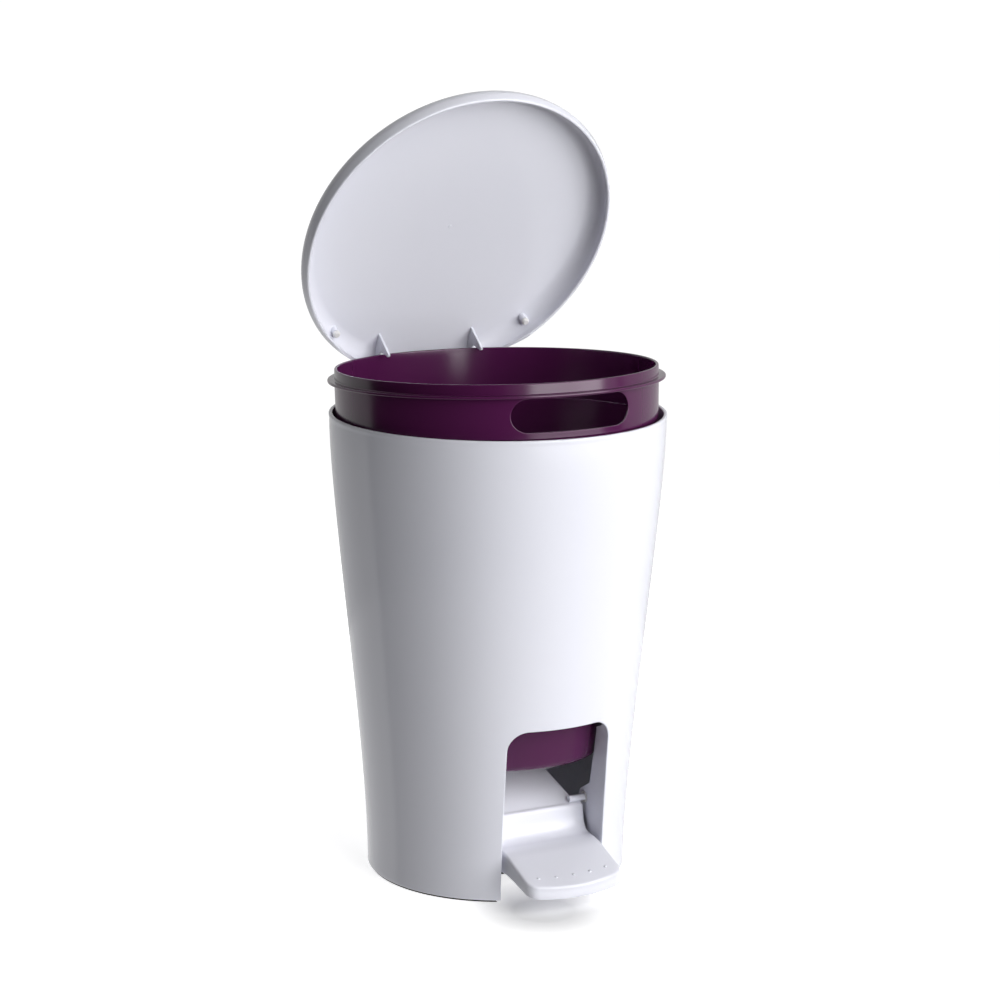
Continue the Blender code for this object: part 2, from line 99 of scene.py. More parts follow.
# Bucket, seated
FLANGE_Z = RIM_Z + 0.3
FLANGE_THICK = 1.7
FLANGE_RADIUS = 102.7
COLLAR_RADIUS = 98.4
COLLAR_TOP = FLANGE_Z + 8.1
BAND_HEIGHT = 24.0
BUCKET_WALL = 1.8
BUCKET_BOTTOM = 55.5
BUCKET_PLAY = -0.9
BUCKET_BASE_RADIUS = 61.0
HAND_HOLE = (78.0, 19.5)
HAND_HOLE_Z = 276.2
HAND_HOLE_EDGE = 0.6
NOTCH_HALF = 68.0
BAND_RADII = (98.1, 98.5)                     # below and above
WALL_TOP_RADIUS = 97.4
WALL_TOP_INNER = 95.6
BASE_BENDS = (5.0, 3.2)                       # outer and inner

# Lid, closed
LID_Z = FLANGE_Z + FLANGE_THICK + 0.3
LID_EDGE_RADIUS = 102.4
LID_SIDE_RADIUS = 103.6
LID_REACH = -0.9
LID_SIDE_HEIGHT = 4.5
LID_SHOULDER = (12.6, 12.0)
SHOULDER_STEPS = 18
LID_CROWN = 3.5
LID_WALL = 2.2
LID_NOTCH = (72.0, 49.0)
FIN_X = 32.9
FIN_THICK = 1.6
BUFFER_PLACE = (67.0, 69.0)
BUFFER_PEG_RADIUS = 2.6
GATE_RADIUS = 1.3
KNUCKLE_HALF = 25.4
KNUCKLE_RADIUS = 3.7
PIN_BORE = 1.9

# Pedal
PAD_HALF = 32.5
PAD_FRONT = -108.6
PAD_CORNER = 9.0
PAD_WALL = 2.3
PLATE_HALF = (28.0, 16.5)
PLATE_FOLD = (-51.0, 48.2)
PLATE_NOSE = (-5.0, 74.9)
PLATE_THICK = 2.7
STUB_RADIUS = 2.1
STUB = (23.4, 39.0)
RIB_X = 12.0
RIB_THICK = 1.8
PIPS = (-23.0, -11.5, 0.0, 11.5, 23.0)
PIP_RADIUS = 1.1
PIP_HEIGHT = 0.75

# Segments round a large turned piece, a helper that only trims others, a rod and a pip
ROUND = 256
CORE_SEGMENTS = 128
ROD_SEGMENTS = 48
PIP_SEGMENTS = 24


# ---- outlines -----------------------------------------------------------------------------------

def bezier(start, handle_a, handle_b, end, steps):
    """Points along a cubic curve, both ends included."""
    points = []
    for index in range(steps + 1):
        t = index / steps
        weights = ((1 - t) ** 3, 3 * t * (1 - t) ** 2, 3 * t * t * (1 - t), t ** 3)
        corners = (start, handle_a, handle_b, end)
        points.append(tuple(sum(w * c[axis] for w, c in zip(weights, corners)) for axis in (0, 1)))
    return points


def arc(centre, radii, from_degrees, to_degrees, steps):
    """Points of an elliptical arc."""
    points = []
    for index in range(steps + 1):
        angle = math.radians(from_degrees + (to_degrees - from_degrees) * index / steps)
        points.append((centre[0] + radii[0] * math.cos(angle),
                       centre[1] + radii[1] * math.sin(angle)))
    return points


CORNER_STEPS = 5


def rounded(outline, radii):
    """An open or closed outline with each corner named in radii ({index: radius}) rounded off."""
    points = []
    for index, corner in enumerate(outline):
        radius = radii.get(index, 0.0)
        if not radius:
            points.append(corner)
            continue
        here = Vector(corner)
        before = (Vector(outline[index - 1]) - here).normalized()
        after = (Vector(outline[(index + 1) % len(outline)]) - here).normalized()
        half = math.acos(max(-1.0, min(1.0, before.dot(after)))) / 2
        reach = radius / math.tan(half)
        start, end = here + before * reach, here + after * reach
        for step in range(CORNER_STEPS + 1):
            t = step / CORNER_STEPS
            point = start * (1 - t) ** 2 + here * (2 * t * (1 - t)) + end * t * t
            points.append(tuple(point))
    return points


# ---- solids -------------------------------------------------------------------------------------

def finish(bm, name):
    """A scratch object from a bmesh given in millimetres, with its faces pointing out."""
    bmesh.ops.recalc_face_normals(bm, faces=bm.faces[:])
    bmesh.ops.scale(bm, vec=(MM, MM, MM), verts=bm.verts[:])
    mesh = bpy.data.meshes.new(name)
    bm.to_mesh(mesh)
    bm.free()
    solid = bpy.data.objects.new(name, mesh)
    bpy.context.scene.collection.objects.link(solid)
    return solid


def turned(outline, segments=ROUND, axis="Z", centre=(0.0, 0.0)):
    """A closed (radius, height) outline turned about Z, or about a line along X or Y."""
    bm = bmesh.new()
    rings = []
    for radius, height in outline:
        if radius < 1e-6:
            rings.append([bm.verts.new((0.0, 0.0, height))])
            continue
        angles = [math.tau * (index + 0.5) / segments for index in range(segments)]
        rings.append([bm.verts.new((radius * math.cos(angle), radius * math.sin(angle), height))
                      for angle in angles])
    for low, high in zip(rings, rings[1:] + rings[:1]):
        for index in range(segments):
            after = (index + 1) % segments
            corners = [low[index % len(low)], low[after % len(low)],
                       high[after % len(high)], high[index % len(high)]]
            corners = list(dict.fromkeys(corners))
            if len(corners) > 2:
                bm.faces.new(corners)
    turns = {"X": ((0, 0, 1), (1, 0, 0), (0, 1, 0)), "Y": ((0, 1, 0), (0, 0, 1), (1, 0, 0))}
    places = {"X": (0, *centre), "Y": (centre[0], 0, centre[1])}
    if axis in turns:
        turn = Matrix(turns[axis]).to_4x4()
        bmesh.ops.transform(bm, matrix=Matrix.Translation(places[axis]) @ turn, verts=bm.verts[:])
    return finish(bm, "turned")


def rod(radius, low, high, axis="X", centre=(0.0, 0.0), edge=0.0):
    """A cylinder between two stations of an axis, with its end edges rounded by edge."""
    outline = [(0, low), (radius, low), (radius, high), (0, high)]
    return turned(rounded(outline, {1: edge, 2: edge}), ROD_SEGMENTS, axis, centre)


def prism(outline, low, high, axis, edge=0.0):
    """A closed outline pushed along an axis: (y, z) along X, (x, z) along Y or (x, y) along Z."""
    bm = bmesh.new()
    place = {
        "X": lambda p, depth: (depth, p[0], p[1]),
        "Y": lambda p, depth: (p[0], depth, p[1]),
        "Z": lambda p, depth: (p[0], p[1], depth),
    }[axis]
    near = [bm.verts.new(place(point, low)) for point in outline]
    far = [bm.verts.new(place(point, high)) for point in outline]
    bm.faces.new(near)
    bm.faces.new(far)
    for index in range(len(outline)):
        after = (index + 1) % len(outline)
        bm.faces.new((near[index], near[after], far[after], far[index]))
    if edge:
        bmesh.ops.recalc_face_normals(bm, faces=bm.faces[:])
        rims = [e for e in bm.edges if (e.verts[0] in near) == (e.verts[1] in near)]
        bmesh.ops.bevel(bm, geom=rims, offset=edge, segments=3, profile=0.5, affect="EDGES")
    return finish(bm, "prism")


def loft(rings):
    """A closed solid through rings of equal length, its first and last ring flat and filled."""
    bm = bmesh.new()
    made = [[bm.verts.new(point) for point in ring] for ring in rings]
    for near, far in zip(made, made[1:]):
        for index in range(len(near)):
            after = (index + 1) % len(near)
            bm.faces.new((near[index], near[after], far[after]))
            bm.faces.new((near[index], far[after], far[index]))
    bm.faces.new(made[0])
    bm.faces.new(made[-1])
    return finish(bm, "loft")


def moved(solid, x, y, turn=0.0):
    """Turns a solid about Z and then shifts it across the floor."""
    turned_by = Matrix.Rotation(turn, 4, "Z")
    solid.data.transform(Matrix.Translation(Vector((x, y, 0)) * MM) @ turned_by)
    return solid


def together(*solids):
    """Solids that don't touch one another, as one object."""
    bm = bmesh.new()
    for solid in solids:
        bm.from_mesh(solid.data)
    mesh = bpy.data.meshes.new("together")
    bm.to_mesh(mesh)
    bm.free()
    for solid in solids[1:]:
        bpy.data.objects.remove(solid)
    solids[0].data = mesh
    return solids[0]


def combine(base, tool, operation):
    """Applies an exact Boolean of the tool to the base and removes the tool."""
    step = base.modifiers.new("combine", "BOOLEAN")
    step.operation = operation
    step.solver = "EXACT"
    step.object = tool
    bpy.context.view_layer.update()
    graph = bpy.context.evaluated_depsgraph_get()
    mesh = bpy.data.meshes.new_from_object(base.evaluated_get(graph))
    base.modifiers.clear()
    base.data = mesh
    bpy.data.objects.remove(tool)
    return base


def join(base, tool):
    return combine(base, tool, "UNION")


def cut(base, tool):
    return combine(base, tool, "DIFFERENCE")


def keep(base, tool):
    return combine(base, tool, "INTERSECT")


CUTTER_FRONT = -130.0


def flared_cutter(outline, radius_at, flares, back=-30.0):
    """A cutter through a turned wall, as (x, z) outline(grow). It flares into the wall's faces, so
    the cut's edges come out rounded. Each flare is (grow, depth) from the wall's outer face."""
    rings = [[(x, CUTTER_FRONT, z) for x, z in outline(flares[0][0])]]
    for grow, depth in flares:
        ring = []
        for x, z in outline(grow):
            ring.append((x, -math.sqrt(radius_at(z) ** 2 - x * x) + depth, z))
        rings.append(ring)
    rings.append([(x, back, z) for x, z in outline(flares[-1][0])])
    return loft(rings)


def flare(edge, wall=None):
    """Stations of a cutter that rounds a wall's outer edge and, given the wall, the inner one."""
    steps = [(edge * 0.98, -0.6)]
    for degrees in (82, 66, 50, 34, 17, 0):
        angle = math.radians(degrees)
        steps.append((edge - edge * math.cos(angle), edge - edge * math.sin(angle)))
    if wall is None:
        return steps
    for degrees in (0, 17, 34, 50, 66, 82):
        angle = math.radians(degrees)
        steps.append((edge - edge * math.cos(angle), wall - edge + edge * math.sin(angle)))
    return steps + [(edge * 0.98, wall + 0.6)]


# ---- finishing a piece --------------------------------------------------------------------------

SHARP_ANGLE = math.radians(32.0)

# A corner takes a turned surface's normal if it's this near to it, in metres, and the cosine
# between that normal and its face's is above this.
SAME_SURFACE = 4e-5
SAME_FACING = 0.88
# The outline bends smoothly where the cosine between two of its pieces is above this.
SMOOTH_BEND = 0.8


def gloss_normals(mesh, outline, centre=(0.0, 0.0)):
    """Gives the faces that lie on a turned surface that surface's own normals, so that Boolean
    cuts leave no ripples in the gloss. The outline is the one that was turned, in millimetres,
    about a standing line through the centre."""
    line = np.array(outline, float) * MM
    start, end = line, np.roll(line, -1, axis=0)
    along = end - start
    length = np.linalg.norm(along, axis=1)
    good = length > 1e-9
    start, end, along, length = start[good], end[good], along[good], length[good]
    facing = np.stack([along[:, 1], -along[:, 0]], axis=1) / length[:, None]
    before = np.roll(facing, 1, axis=0)
    soft = (facing * before).sum(1) > SMOOTH_BEND
    at_start = np.where(soft[:, None], facing + before, facing)
    after = np.roll(facing, -1, axis=0)
    at_end = np.where(np.roll(soft, -1)[:, None], facing + after, facing)

    count = len(mesh.vertices)
    points = np.empty(count * 3)
    mesh.vertices.foreach_get("co", points)
    points = points.reshape(-1, 3) - np.array((*centre, 0.0)) * MM
    flat = np.stack([np.hypot(points[:, 0], points[:, 1]), points[:, 2]], axis=1)
    best = np.full(count, np.inf)
    normal = np.zeros((count, 2))
    for index in range(len(start)):
        t = ((flat - start[index]) @ along[index] / length[index] ** 2).clip(0, 1)
        gap = np.linalg.norm(flat - start[index] - t[:, None] * along[index], axis=1)
        nearer = gap < best
        best[nearer] = gap[nearer]
        normal[nearer] = ((1 - t)[:, None] * at_start[index] + t[:, None] * at_end[index])[nearer]
    normal /= np.linalg.norm(normal, axis=1)[:, None].clip(1e-9)
    around = points[:, :2] / flat[:, :1].clip(1e-9)
    surface = np.stack([normal[:, 0] * around[:, 0], normal[:, 0] * around[:, 1], normal[:, 1]],
                       axis=1)

    corners = np.empty(len(mesh.loops) * 3, np.float32)
    mesh.corner_normals.foreach_get("vector", corners)
    corners = corners.reshape(-1, 3)
    of_vertex = np.empty(len(mesh.loops), np.int32)
    mesh.loops.foreach_get("vertex_index", of_vertex)
    of_face = np.repeat(np.arange(len(mesh.polygons)), [p.loop_total for p in mesh.polygons])
    faces = np.array([p.normal for p in mesh.polygons])[of_face]
    wanted = surface[of_vertex]
    if (faces * wanted).sum(1)[best[of_vertex] < SAME_SURFACE].mean() < 0:
        wanted = -wanted
    on = (best[of_vertex] < SAME_SURFACE) & ((faces * wanted).sum(1) > SAME_FACING)
    corners[on] = wanted[on]
    mesh.normals_split_custom_set(corners)


def publish(solid, name, body, look, outline=None, centre=(0.0, 0.0), pivot=None,
            degrees=0.0):
    """Shades a solid, turns it about its joint to its resting place and gives it to its body."""
    solid.name = name
    mesh = solid.data
    mesh.name = name
    mesh.materials.clear()
    mesh.materials.append(look)
    mesh.shade_smooth()
    mesh.set_sharp_from_angle(angle=SHARP_ANGLE)
    if outline:
        gloss_normals(mesh, outline, centre)
    if pivot:
        hinge = Vector((0.0, *pivot)) * MM
        turn = Matrix.Rotation(-math.radians(degrees), 4, "X")
        solid.matrix_world = Matrix.Translation(hinge) @ turn @ Matrix.Translation(-hinge)
    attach(solid, body)
    return solid


# ---- materials ----------------------------------------------------------------------------------

def noise(tree, place, scale, detail=3.0, rough=0.5):
    """Noise over a place, about 0.3 to 0.7."""
    node = tree.nodes.new("ShaderNodeTexNoise")
    node.inputs["Scale"].default_value = scale
    node.inputs["Detail"].default_value = detail
    node.inputs["Roughness"].default_value = rough
    tree.links.new(place, node.inputs["Vector"])
    return node.outputs["Fac"]


def spread(tree, value, low, high, from_low=0.3, from_high=0.7):
    """A value taken from one range to another and held at its ends."""
    node = tree.nodes.new("ShaderNodeMapRange")
    node.inputs["From Min"].default_value = from_low
    node.inputs["From Max"].default_value = from_high
    node.inputs["To Min"].default_value = low
    node.inputs["To Max"].default_value = high
    tree.links.new(value, node.inputs["Value"])
    return node.outputs["Result"]


def joined(tree, operation, one, other):
    """The result of a Math node on two values."""
    node = tree.nodes.new("ShaderNodeMath")
    node.operation = operation
    tree.links.new(one, node.inputs[0])
    tree.links.new(other, node.inputs[1])
    return node.outputs[0]


def measured(tree, operation, vector, fixed=(0.0, 0.0, 0.0)):
    """The number that a Vector Math node gives for a vector and a fixed one."""
    node = tree.nodes.new("ShaderNodeVectorMath")
    node.operation = operation
    node.inputs[1].default_value = fixed
    tree.links.new(vector, node.inputs[0])
    return node.outputs["Value"]


DRIFT_SCALE = 9.0


def moulded(name, pale, deep, roughness, grain=420.0, grain_depth=1.2e-6, metallic=0.0, ior=1.49,
            stretch=(1.0, 1.0, 1.0)):
    """A moulded or drawn surface: a slow drift between two close colours, uneven gloss and a fine
    skin."""
    made = bpy.data.materials.new(name)
    made.use_nodes = True
    tree = made.node_tree
    shader = tree.nodes["Principled BSDF"]
    place = tree.nodes.new("ShaderNodeTexCoord").outputs["Object"]
    drift = spread(tree, noise(tree, place, DRIFT_SCALE), 0.0, 1.0)
    mix = tree.nodes.new("ShaderNodeMix")
    mix.data_type = "RGBA"
    mix.inputs["A"].default_value = (*pale, 1.0)
    mix.inputs["B"].default_value = (*deep, 1.0)
    tree.links.new(drift, mix.inputs["Factor"])
    tree.links.new(mix.outputs["Result"], shader.inputs["Base Color"])

    stretched = tree.nodes.new("ShaderNodeMapping")
    stretched.inputs["Scale"].default_value = stretch
    tree.links.new(place, stretched.inputs["Vector"])
    skin = noise(tree, stretched.outputs["Vector"], grain, 4.0, 0.6)
    wander = noise(tree, place, grain / 14, 2.0)
    uneven = spread(tree, wander, roughness * 0.85, roughness * 1.2)
    tree.links.new(uneven, shader.inputs["Roughness"])
    bump = tree.nodes.new("ShaderNodeBump")
    bump.inputs["Strength"].default_value = 1.0
    bump.inputs["Distance"].default_value = grain_depth
    tree.links.new(skin, bump.inputs["Height"])
    tree.links.new(bump.outputs["Normal"], shader.inputs["Normal"])
    shader.inputs["Metallic"].default_value = metallic
    shader.inputs["IOR"].default_value = ior
    return made


WHITE = moulded("white_gloss", (0.775, 0.780, 0.850), (0.755, 0.762, 0.836), 0.13, ior=1.46)
PURPLE = moulded("purple_gloss", (0.074, 0.0098, 0.060), (0.065, 0.0082, 0.052), 0.17, ior=1.52)
NYLON = moulded("natural_nylon", (0.80, 0.79, 0.78), (0.72, 0.71, 0.70), 0.40, 1500.0, 4e-6)
RUBBER = moulded("grey_rubber", (0.060, 0.060, 0.063), (0.040, 0.040, 0.043), 0.70, 2200.0, 1.5e-5)
STEEL = moulded("drawn_steel", (0.60, 0.60, 0.62), (0.50, 0.50, 0.52), 0.26, 2600.0, 3e-6, 1.0,
                stretch=(0.06, 1.0, 1.0))


# ---- body ---------------------------------------------------------------------------------------

def body_curve(inset=0.0):
    """The body's S curve from base to rim, moved inwards by inset."""
    (low_out, low_share), (high_out, high_share) = BODY_HANDLES
    low = (BASE_RADIUS - inset, FOOT_GAP)
    handle_low = (BASE_RADIUS + low_out - inset, FOOT_GAP + low_share * BODY_HEIGHT)
    handle_high = (RIM_RADIUS + high_out - inset, FOOT_GAP + high_share * BODY_HEIGHT)
    high = (RIM_RADIUS - inset, RIM_Z)
    return bezier(low, handle_low, handle_high, high, BODY_STEPS)


def radius_at(curve):
    """The radius of a curve at any height, held constant beyond its ends."""
    heights = [point[1] for point in curve]
    radii = [point[0] for point in curve]
    return lambda z: float(np.interp(z, heights, radii))


def body_outline():
    """The wall's closed outline: rounded base edges, a slightly rolled lip and a rounded rim."""
    outer = [point for point in body_curve() if FOOT_GAP + 1 < point[1] < RIM_Z - 4]
    inner = [point for point in body_curve(BODY_WALL) if FOOT_GAP + 1 < point[1] < RIM_Z - 4]
    base, rim, lip = BASE_RADIUS, RIM_RADIUS, RIM_RADIUS + RIM_LIP
    out, within = BASE_ROUNDS
    foot = arc((base - out, FOOT_GAP + out), (out, out), -90, 0, 5)
    foot_in = arc((base - BODY_WALL + within, FOOT_GAP + within), (within, within), 180, 270, 3)
    out, within = RIM_ROUNDS
    top = [(rim - 0.02, RIM_Z - 3.6), (rim + 0.04, RIM_Z - 2.9), (lip - 0.08, RIM_Z - 1.9)]
    top += arc((lip - out, RIM_Z - out), (out, out), 8, 90, 7)
    top += arc((rim - BODY_WALL + within, RIM_Z - within), (within, within), 90, 180, 5)
    return foot + outer + top + inner[::-1] + foot_in


def opening(grow=0.0, low=-10.0):
    """The arched opening's (x, z) outline, open downwards, grown outwards by grow."""
    half = OPENING_HALF + grow
    top = OPENING_TOP + grow
    corner = OPENING_CORNER + grow
    right = arc((half - corner, top - corner), (corner, corner), 0, 90, 16)
    left = arc((corner - half, top - corner), (corner, corner), 90, 180, 16)
    side = np.linspace(low, top - corner, 24)[:-1]
    across = np.linspace(half - corner, corner - half, 16)[1:-1]
    return ([(half, z) for z in side] + right + [(x, top) for x in across] + left
            + [(-half, z) for z in side[::-1]])


def web_side():
    """The (y, z) outline that bounds the opening's webs, with the ear that holds the axle bush."""
    ear = arc(PEDAL_AXLE, (EAR_RADIUS, EAR_RADIUS), -70, 75, 20)
    below = [(-100, FOOT_GAP + 1), (-53, FOOT_GAP + 1), (-55, 36)]
    above = [(-57.5, 61), (-65.5, 99), (-77.5, 104), (-77.5, 114), (-100, 114)]
    return below + ear + above


def build_body():
    """The body with its webs, the plates that carry the feet and the bosses for the screws."""
    outline = body_outline()
    shell = turned(outline)
    inside = body_curve(0.8)
    core = turned([(0, inside[0][1])] + inside + [(0, inside[-1][1])], CORE_SEGMENTS)
    block = prism(opening(WEB, FOOT_GAP + 0.4), -96, -42, "Y")
    block = keep(keep(block, prism(web_side(), -60, 60, "X")), core)

    extras, bores = [block], []
    half, reach = FOOT_ARM
    for degrees in FOOT_HEADINGS:
        angle = math.radians(degrees)
        x, y = FOOT_CIRCLE * math.cos(angle), FOOT_CIRCLE * math.sin(angle)
        arm = prism([(-half, 0), (half, 0), (half, reach), (-half, reach)], *FOOT_PLATE, "Z")
        arm = moved(arm, x, y, angle - math.pi / 2)
        extras.append(join(moved(rod(FOOT_PLATE_RADIUS, *FOOT_PLATE, "Z"), x, y), arm))
        bores.append(moved(rod(FOOT_BORE, 0, 10, "Z"), x, y))
    for side in (-1, 1):
        place = (side * SCREW_PLACE[0], SCREW_PLACE[1])
        extras.append(rod(BOSS_RADIUS, *BOSS_DEPTH, "Y", place, edge=0.3))
        bores.append(rod(SCREW_BORE, 80, 110, "Y", place))
    shell = join(shell, together(*extras))
    cutter = flared_cutter(opening, radius_at(body_curve()), flare(OPENING_EDGE))
    shell = cut(shell, together(cutter, *bores))
    shell = cut(shell, rod(AXLE_BORE, -60, 60, "X", PEDAL_AXLE))
    publish(shell, "body_moulding", "body", WHITE, outline)
    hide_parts("body_shell")


# ---- bucket -------------------------------------------------------------------------------------

def bucket_outline():
    """The bucket's closed outline with rounded rim, flange tip, fillets and base."""
    band_low = FLANGE_Z - BAND_HEIGHT
    top = FLANGE_Z + FLANGE_THICK
    inner_top = COLLAR_RADIUS - BUCKET_WALL
    wide, tight = BASE_BENDS
    bend_radius = BUCKET_BASE_RADIUS - wide
    outer = arc((bend_radius, BUCKET_BOTTOM + wide), (wide, wide), -90, -10, 10)
    low_radius, low_z = outer[-1]
    wall_top = band_low - 0.5
    steps = np.linspace(0.06, 0.94, 12)
    outer += [(low_radius + (WALL_TOP_RADIUS - low_radius) * s, low_z + (wall_top - low_z) * s)
              for s in steps]
    outer += rounded([(97.0, band_low - 3), (WALL_TOP_RADIUS, wall_top), (BAND_RADII[0], band_low),
                      (BAND_RADII[1], FLANGE_Z), (FLANGE_RADIUS, FLANGE_Z), (FLANGE_RADIUS, top),
                      (COLLAR_RADIUS, top), (COLLAR_RADIUS, COLLAR_TOP), (inner_top, COLLAR_TOP),
                      (inner_top, COLLAR_TOP - 5)],
                     {3: 0.5, 4: 0.7, 5: 0.7, 6: 0.6, 7: 0.8, 8: 0.8})
    inner_floor = BUCKET_BOTTOM + BUCKET_WALL
    inner = [(BAND_RADII[0] - BUCKET_WALL, band_low), (WALL_TOP_INNER, wall_top)]
    bend = arc((bend_radius, inner_floor + tight), (tight, tight), -10, -90, 8)
    low_radius, low_z = bend[0]
    inner += [(WALL_TOP_INNER + (low_radius - WALL_TOP_INNER) * s,
               wall_top + (low_z - wall_top) * s) for s in steps]
    return [(0, BUCKET_BOTTOM)] + outer + inner + bend + [(0, inner_floor)]


def hand_hole(grow=0.0):
    """The hand hole's (x, z) outline, grown outwards by grow."""
    width, height = HAND_HOLE
    end = height / 2 + grow
    middle = width / 2 - height / 2
    across = np.linspace(middle, -middle, 30)[1:-1]
    outline = arc((middle, HAND_HOLE_Z), (end, end), -90, 90, 24)
    outline += [(x, HAND_HOLE_Z + end) for x in across]
    outline += arc((-middle, HAND_HOLE_Z), (end, end), 90, 270, 24)
    return outline + [(x, HAND_HOLE_Z - end) for x in across[::-1]]


def build_bucket():
    """The bucket with its hand hole, its flange cut away at the rear for the lid's hinge."""
    outline = bucket_outline()
    bucket = turned(outline)
    band = radius_at([(BAND_RADII[0], FLANGE_Z - BAND_HEIGHT), (BAND_RADII[1], FLANGE_Z)])
    hole = flared_cutter(hand_hole, band, flare(HAND_HOLE_EDGE, BUCKET_WALL), back=-60.0)
    near, low, high = COLLAR_RADIUS + 0.02, FLANGE_Z - 0.4, FLANGE_Z + 2.3
    ring = turned([(near, low), (110, low), (110, high), (near, high)])
    rear = [(-NOTCH_HALF, 20), (NOTCH_HALF, 20), (NOTCH_HALF, 120), (-NOTCH_HALF, 120)]
    ring = keep(ring, prism(rear, FLANGE_Z - 3, FLANGE_Z + 5, "Z"))
    bucket = moved(cut(bucket, together(hole, ring)), BUCKET_PLAY, 0.0)
    publish(bucket, "bucket_moulding", "bucket", PURPLE, outline,
            (BUCKET_PLAY, 0.0), BUCKET_TILT, BUCKET_TURN)
    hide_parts("bucket")


# ---- lid ----------------------------------------------------------------------------------------

def lid_section(inset):
    """The lid's (radius, z) curve from the skirt's edge to the crown, moved inwards by inset."""
    wide, tall = LID_SHOULDER
    centre = (LID_SIDE_RADIUS - wide, LID_Z + LID_SIDE_HEIGHT)
    shoulder = arc(centre, (wide - inset, tall - inset), 0, 90, SHOULDER_STEPS)
    flat, crown_z = shoulder[-1]
    crown = [(flat * k, crown_z + LID_CROWN * (1 - k * k)) for k in np.linspace(0.94, 0.0, 12)]
    return [(LID_EDGE_RADIUS - inset, LID_Z)] + shoulder + crown


def lid_outline():
    """The lid's closed outline, with a full round along the skirt's edge."""
    outer, inner = lid_section(0.0), lid_section(LID_WALL)
    edge = LID_WALL / 2
    roll = arc((LID_EDGE_RADIUS - edge + 0.05, LID_Z + edge), (edge, edge), 180, 350, 12)
    return roll + outer[1:] + inner[:0:-1]


def fin_outline():
    """The (y, z) outline of a cam fin. The bucket's rim slides along its hollow edge, behind its
    nose."""
    nose = arc((80.6, LID_Z - 2.1), (1.3, 1.3), 190, 340, 10)
    return [(75.4, LID_Z + 22), (76.0, LID_Z + 14)] + nose + [
        (83.4, LID_Z + 3.5), (84.3, LID_Z + 6.8), (86.3, LID_Z + 8.2), (90.5, LID_Z + 8.6),
        (99.9, LID_Z + 8.2), (100.6, LID_Z + 22)]


def build_lid():
    """The lid with its hinge knuckle, its skirt notched at the rear, its fins, pegs and gate."""
    outline = lid_outline()
    lid = moved(turned(outline), 0.0, LID_REACH)
    inner = lid_section(LID_WALL)
    y, z = HINGE
    knuckle = join(
        rod(KNUCKLE_RADIUS, -KNUCKLE_HALF, KNUCKLE_HALF, "X", HINGE, edge=0.4),
        prism([(96.0, z - 2.6), (y, z - KNUCKLE_RADIUS + 0.2), (y, z + KNUCKLE_RADIUS - 0.2),
               (96.0, z + 3.4)], -KNUCKLE_HALF + 0.1, KNUCKLE_HALF - 0.1, "X"))
    hollow = turned([(0, LID_Z - 6), (inner[0][0], LID_Z - 6)] + inner)
    knuckle = cut(knuckle, moved(hollow, 0.0, LID_REACH))
    lid = join(lid, knuckle)

    (wide, deep), low, top = LID_NOTCH, LID_Z - 1, LID_Z + 5.6
    notch = prism([(-wide, low), (wide, low), (deep, top), (-deep, top)], 50, 99.1, "Y")
    lid = cut(lid, notch)
    side, top = KNUCKLE_HALF + 0.8, LID_Z + 3.5
    wide_notch = prism([(-side, low), (side, low), (side, top), (-side, top)], 98.0, 102.5, "Y")
    lid = cut(lid, wide_notch)
    lid = cut(lid, rod(PIN_BORE, -50, 50, "X", HINGE))

    fins = [prism(fin_outline(), x - FIN_THICK / 2, x + FIN_THICK / 2, "X", 0.3)
            for x in (-FIN_X, FIN_X)]
    for x in (-BUFFER_PLACE[0], BUFFER_PLACE[0]):
        peg = rod(BUFFER_PEG_RADIUS, LID_Z + 9.0, LID_Z + 20, "Z", edge=0.4)
        fins.append(moved(peg, x, BUFFER_PLACE[1]))
    crown = lid_section(LID_WALL)[-1][1]
    fins.append(moved(rod(GATE_RADIUS, crown - 0.25, crown + 1.0, "Z", edge=0.2), 0.0, LID_REACH))
    limit = lid_section(0.7)
    core = turned([(0, LID_Z - 8), (limit[0][0], LID_Z - 8)] + limit, CORE_SEGMENTS)
    lid = join(lid, keep(together(*fins), moved(core, 0.0, LID_REACH)))
    publish(lid, "lid_moulding", "lid", WHITE, outline, (0.0, LID_REACH),
            HINGE, LID_TURN)
    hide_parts("lid")


# ---- pedal --------------------------------------------------------------------------------------

def tread_line():
    """(y, z) of the pedal's top, from its front edge over riser and fold to the plate's nose."""
    pad = bezier((PAD_FRONT, 17.2), (-101.0, 20.2), (-92.0, 23.3), (-80.0, 27.8), 24)
    level = bezier((-80.0, 27.8), (-74.5, 30.0), (-70.0, 31.0), (-64.0, 31.2), 12)
    riser = bezier((-64.0, 31.2), (-55.0, 31.6), (-55.4, 39.0), (-54.4, 45.5), 36)
    slope = (PLATE_NOSE[1] - PLATE_FOLD[1]) / (PLATE_NOSE[0] - PLATE_FOLD[0])
    fold_end = (-49.4, PLATE_FOLD[1] + (PLATE_FOLD[0] + 49.4) * -slope)
    fold = bezier((-54.4, 45.5), (-54.0, 48.6), (-52.2, fold_end[1] - 2.8 * slope), fold_end, 16)
    return pad + level[1:] + riser[1:] + fold[1:] + [PLATE_NOSE]


LINE = np.array(tread_line())
ALONG = np.concatenate([[0.0], np.hypot(*np.diff(LINE, axis=0).T).cumsum()])


def station(y):
    """How far along the tread's line, from its front edge, the line reaches y."""
    return float(np.interp(y, LINE[:, 0], ALONG))


def tread_at(along):
    """The tread's (y, z) point at a station, and its heading there."""
    point = np.array([np.interp(along, ALONG, LINE[:, axis]) for axis in (0, 1)])
    low, high = max(along - 0.7, 0.0), min(along + 0.7, ALONG[-1])
    ahead = np.array([np.interp(high, ALONG, LINE[:, axis]) - np.interp(low, ALONG, LINE[:, axis])
                      for axis in (0, 1)])
    return point, ahead / np.linalg.norm(ahead)


